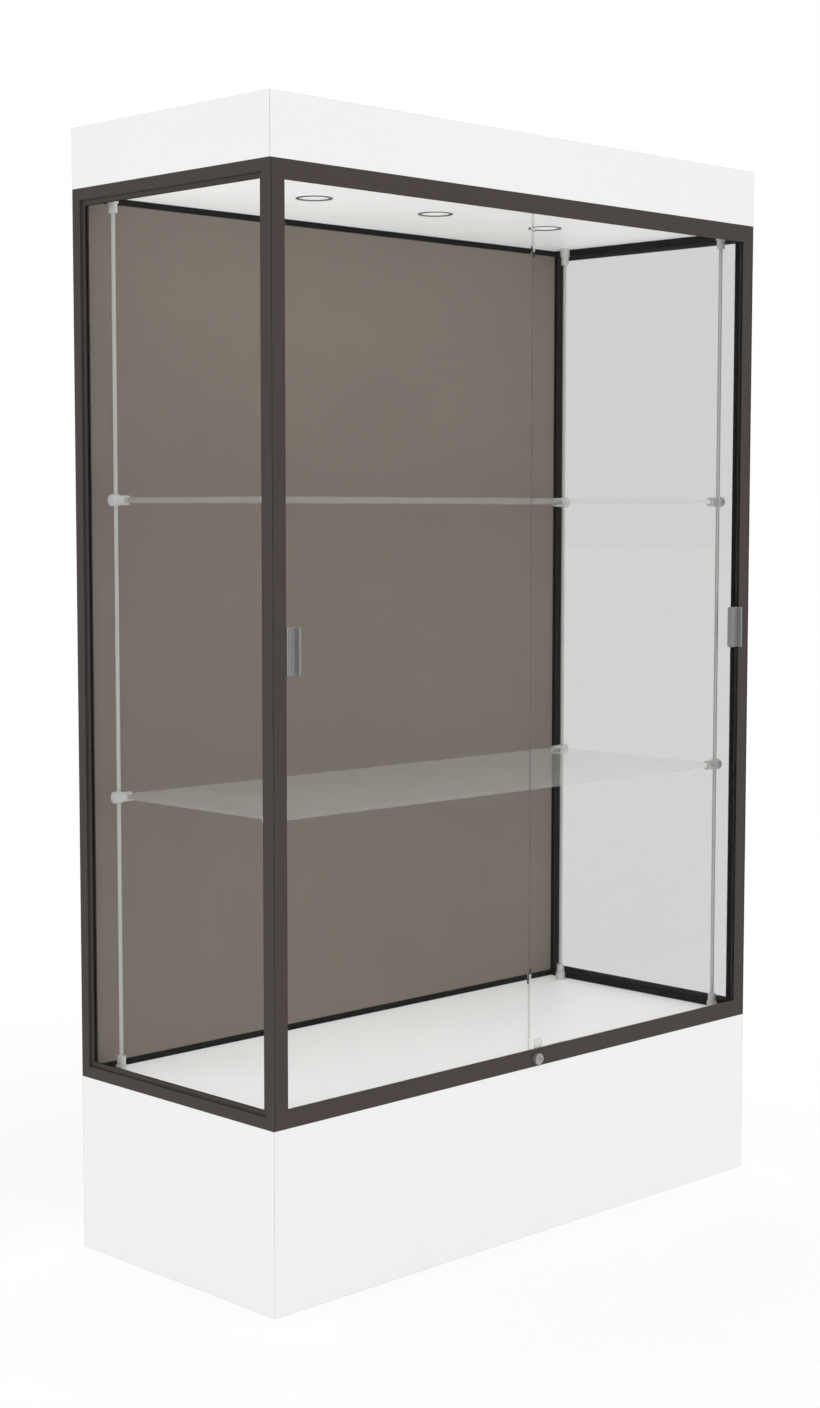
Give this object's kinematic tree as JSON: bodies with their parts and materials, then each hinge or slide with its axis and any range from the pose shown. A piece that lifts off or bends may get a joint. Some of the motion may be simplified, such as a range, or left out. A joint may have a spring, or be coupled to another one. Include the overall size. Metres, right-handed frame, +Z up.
{
  "type": "lighted tower display case",
  "caption": "Glazed floor display case with a white base and lighted header, a dark aluminium frame, lockable sliding glass doors, a closed back and clamped glass shelves on rods.",
  "frame": {"origin": "on the floor, at the centre of the base's footprint", "axes": "+Z up, +Y from the doors towards the closed back, +X to the right of someone facing the doors"},
  "size_m": [1.2192, 0.5182, 1.9304],
  "materials": {
    "white_laminate": "matt white laminate on board",
    "raw_board": "bare particle board",
    "bronze_aluminium": "dark bronze anodised, satin",
    "clear_glass": "clear polished sheet glass",
    "shelf_glass": "clear toughened glass with polished edges",
    "taupe_panel": "taupe laminate on hardboard",
    "white_deck": "white laminate, satin",
    "satin_aluminium": "satin anodised",
    "rod_steel": "satin plated",
    "zinc_steel": "zinc plated",
    "nylon": "moulded nylon",
    "lock_nickel": "nickel plated",
    "trim_metal": "light grey paint",
    "light_lens": "frosted white diffuser",
    "driver_case": "white powder coat",
    "clear_plastic": "frosted moulded polycarbonate",
    "black_plastic": "moulded black"
  },
  "bodies": {
    "case": {"base_front": "white_laminate", "base_right": "white_laminate", "base_back": "white_laminate", "base_left": "white_laminate", "header_front": "white_laminate", "header_left": "white_laminate", "header_right": "white_laminate", "header_back": "white_laminate", "header_service_panel": "white_laminate", "header_top": "white_laminate", "base_top": "raw_board", "base_rib": "raw_board", "base_corner_blocks": "raw_board", "header_floor": "raw_board", "post_front_left": "bronze_aluminium", "post_front_right": "bronze_aluminium", "post_back_left": "bronze_aluminium", "post_back_right": "bronze_aluminium", "left_bottom_rail": "bronze_aluminium", "right_bottom_rail": "bronze_aluminium", "back_bottom_rail": "bronze_aluminium", "left_top_rail": "bronze_aluminium", "right_top_rail": "bronze_aluminium", "back_top_rail": "bronze_aluminium", "front_bottom_rail": "bronze_aluminium", "front_top_rail": "bronze_aluminium", "left_glass": "clear_glass", "right_glass": "clear_glass", "back_panel": "taupe_panel", "floor_deck": "white_deck", "ceiling_panel": "white_deck", "rod_floor_fittings": "satin_aluminium", "rod_ceiling_fittings": "satin_aluminium", "rod_front_left": "rod_steel", "rod_front_right": "rod_steel", "rod_back_left": "rod_steel", "rod_back_right": "rod_steel", "lock_sleeve": "lock_nickel", "downlight_trims": "trim_metal", "downlight_cans": "trim_metal", "downlight_lenses": "light_lens", "led_driver": "driver_case", "power_inlet": "black_plastic"},
    "door_left": {"door_left_glass": "clear_glass", "door_left_glides": "nylon", "door_left_pull": "satin_aluminium"},
    "door_right": {"door_right_glass": "clear_glass", "door_right_glides": "nylon", "door_right_pull": "satin_aluminium", "door_right_strike": "clear_plastic"},
    "lock_plunger": {"lock_plunger": "lock_nickel"},
    "lock_key": {"lock_key_plug": "lock_nickel"},
    "shelf_upper": {"shelf_upper_glass": "shelf_glass", "shelf_upper_clamps": "satin_aluminium"},
    "shelf_lower": {"shelf_lower_glass": "shelf_glass", "shelf_lower_clamps": "satin_aluminium"},
    "leveller_front_left": {"leveller_front_left": "zinc_steel"},
    "leveller_front_right": {"leveller_front_right": "zinc_steel"},
    "leveller_back_left": {"leveller_back_left": "zinc_steel"},
    "leveller_back_right": {"leveller_back_right": "zinc_steel"}
  },
  "joints": [
    {"name": "door_left_slide", "type": "slide", "parent": "case", "child": "door_left", "axis": [1, 0, 0], "range_m": [0, 0.54]},
    {"name": "door_right_slide", "type": "slide", "parent": "case", "child": "door_right", "axis": [1, 0, 0], "range_m": [-0.54, 0]},
    {"name": "lock_push", "type": "slide", "parent": "case", "child": "lock_plunger", "axis": [0, -1, 0], "range_m": [-0.007, 0], "stiffness_N_per_m": 400, "springref_m": 0.003},
    {"name": "key_turn", "type": "hinge", "parent": "lock_plunger", "child": "lock_key", "pos_m": [0.009, -0.2625, 0.3185], "axis": [0, 1, 0], "range_deg": [0, 90]},
    {"name": "shelf_upper_height", "type": "slide", "parent": "case", "child": "shelf_upper", "axis": [0, 0, 1], "range_m": [-0.4, 0.4]},
    {"name": "shelf_lower_height", "type": "slide", "parent": "case", "child": "shelf_lower", "axis": [0, 0, 1], "range_m": [-0.4, 0.4]},
    {"name": "leveller_front_left_screw", "type": "slide", "parent": "case", "child": "leveller_front_left", "axis": [0, 0, -1], "range_m": [0, 0.015]},
    {"name": "leveller_front_right_screw", "type": "slide", "parent": "case", "child": "leveller_front_right", "axis": [0, 0, -1], "range_m": [0, 0.015]},
    {"name": "leveller_back_left_screw", "type": "slide", "parent": "case", "child": "leveller_back_left", "axis": [0, 0, -1], "range_m": [0, 0.015]},
    {"name": "leveller_back_right_screw", "type": "slide", "parent": "case", "child": "leveller_back_right", "axis": [0, 0, -1], "range_m": [0, 0.015]}
  ]
}
